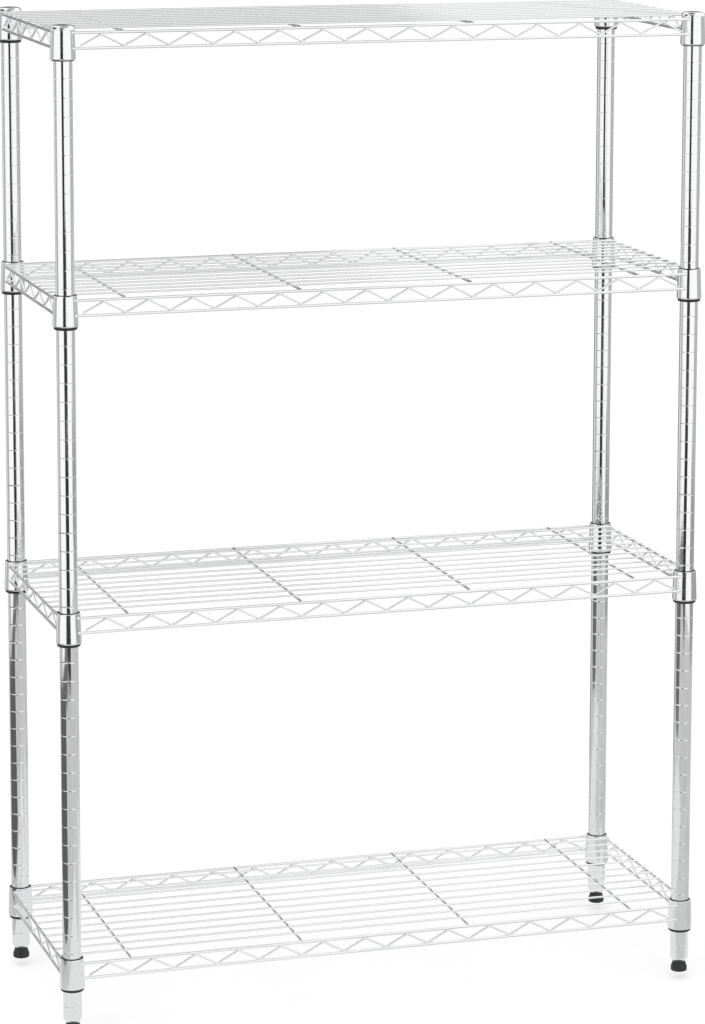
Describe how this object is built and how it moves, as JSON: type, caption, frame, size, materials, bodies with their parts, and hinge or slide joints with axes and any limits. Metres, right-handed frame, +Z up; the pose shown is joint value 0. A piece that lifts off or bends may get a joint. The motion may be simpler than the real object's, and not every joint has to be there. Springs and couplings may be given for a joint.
{
  "type": "wire shelving unit",
  "caption": "Free-standing chrome wire shelving unit with grooved tube posts, welded wire shelves on tapered collars and split sleeves, press-in caps and levelling feet.",
  "frame": {"origin": "on the floor, below the middle of the unit", "axes": "+Z up, -Y towards the front, +X to the right as seen from the front"},
  "size_m": [0.9268, 0.3708, 1.3799],
  "materials": {
    "chrome": "bright chrome plate",
    "stud_steel": "zinc-plated steel",
    "black_plastic": "moulded black plastic"
  },
  "bodies": {
    "posts_and_top_shelf": {"post_lower_front_left": "chrome", "post_upper_front_left": "chrome", "joining_stud_front_left": "stud_steel", "cap_front_left": "chrome", "post_lower_front_right": "chrome", "post_upper_front_right": "chrome", "joining_stud_front_right": "stud_steel", "cap_front_right": "chrome", "post_lower_back_left": "chrome", "post_upper_back_left": "chrome", "joining_stud_back_left": "stud_steel", "cap_back_left": "chrome", "post_lower_back_right": "chrome", "post_upper_back_right": "chrome", "joining_stud_back_right": "stud_steel", "cap_back_right": "chrome", "sleeve1_front_left_front_half": "black_plastic", "sleeve1_front_left_back_half": "black_plastic", "sleeve1_front_right_front_half": "black_plastic", "sleeve1_front_right_back_half": "black_plastic", "sleeve1_back_left_front_half": "black_plastic", "sleeve1_back_left_back_half": "black_plastic", "sleeve1_back_right_front_half": "black_plastic", "sleeve1_back_right_back_half": "black_plastic", "sleeve2_front_left_front_half": "black_plastic", "sleeve2_front_left_back_half": "black_plastic", "sleeve2_front_right_front_half": "black_plastic", "sleeve2_front_right_back_half": "black_plastic", "sleeve2_back_left_front_half": "black_plastic", "sleeve2_back_left_back_half": "black_plastic", "sleeve2_back_right_front_half": "black_plastic", "sleeve2_back_right_back_half": "black_plastic", "sleeve3_front_left_front_half": "black_plastic", "sleeve3_front_left_back_half": "black_plastic", "sleeve3_front_right_front_half": "black_plastic", "sleeve3_front_right_back_half": "black_plastic", "sleeve3_back_left_front_half": "black_plastic", "sleeve3_back_left_back_half": "black_plastic", "sleeve3_back_right_front_half": "black_plastic", "sleeve3_back_right_back_half": "black_plastic", "sleeve4_front_left_front_half": "black_plastic", "sleeve4_front_left_back_half": "black_plastic", "sleeve4_front_right_front_half": "black_plastic", "sleeve4_front_right_back_half": "black_plastic", "sleeve4_back_left_front_half": "black_plastic", "sleeve4_back_left_back_half": "black_plastic", "sleeve4_back_right_front_half": "black_plastic", "sleeve4_back_right_back_half": "black_plastic", "shelf4_frame": "chrome", "shelf4_deck": "chrome"},
    "shelf1": {"shelf1_frame": "chrome", "shelf1_deck": "chrome"},
    "shelf2": {"shelf2_frame": "chrome", "shelf2_deck": "chrome"},
    "shelf3": {"shelf3_frame": "chrome", "shelf3_deck": "chrome"},
    "foot_front_left": {"levelling_foot_front_left": "black_plastic"},
    "foot_front_right": {"levelling_foot_front_right": "black_plastic"},
    "foot_back_left": {"levelling_foot_back_left": "black_plastic"},
    "foot_back_right": {"levelling_foot_back_right": "black_plastic"}
  },
  "joints": [
    {"name": "shelf1_lift", "type": "slide", "parent": "posts_and_top_shelf", "child": "shelf1", "axis": [0, 0, 1], "range_m": [0, 0.436]},
    {"name": "shelf2_lift", "type": "slide", "parent": "posts_and_top_shelf", "child": "shelf2", "axis": [0, 0, 1], "range_m": [0, 0.385]},
    {"name": "shelf3_lift", "type": "slide", "parent": "posts_and_top_shelf", "child": "shelf3", "axis": [0, 0, 1], "range_m": [0, 0.309]},
    {"name": "foot_screw_front_left", "type": "slide", "parent": "posts_and_top_shelf", "child": "foot_front_left", "axis": [0, 0, -1], "range_m": [0, 0.012]},
    {"name": "foot_screw_front_right", "type": "slide", "parent": "posts_and_top_shelf", "child": "foot_front_right", "axis": [0, 0, -1], "range_m": [0, 0.012]},
    {"name": "foot_screw_back_left", "type": "slide", "parent": "posts_and_top_shelf", "child": "foot_back_left", "axis": [0, 0, -1], "range_m": [0, 0.012]},
    {"name": "foot_screw_back_right", "type": "slide", "parent": "posts_and_top_shelf", "child": "foot_back_right", "axis": [0, 0, -1], "range_m": [0, 0.012]}
  ]
}
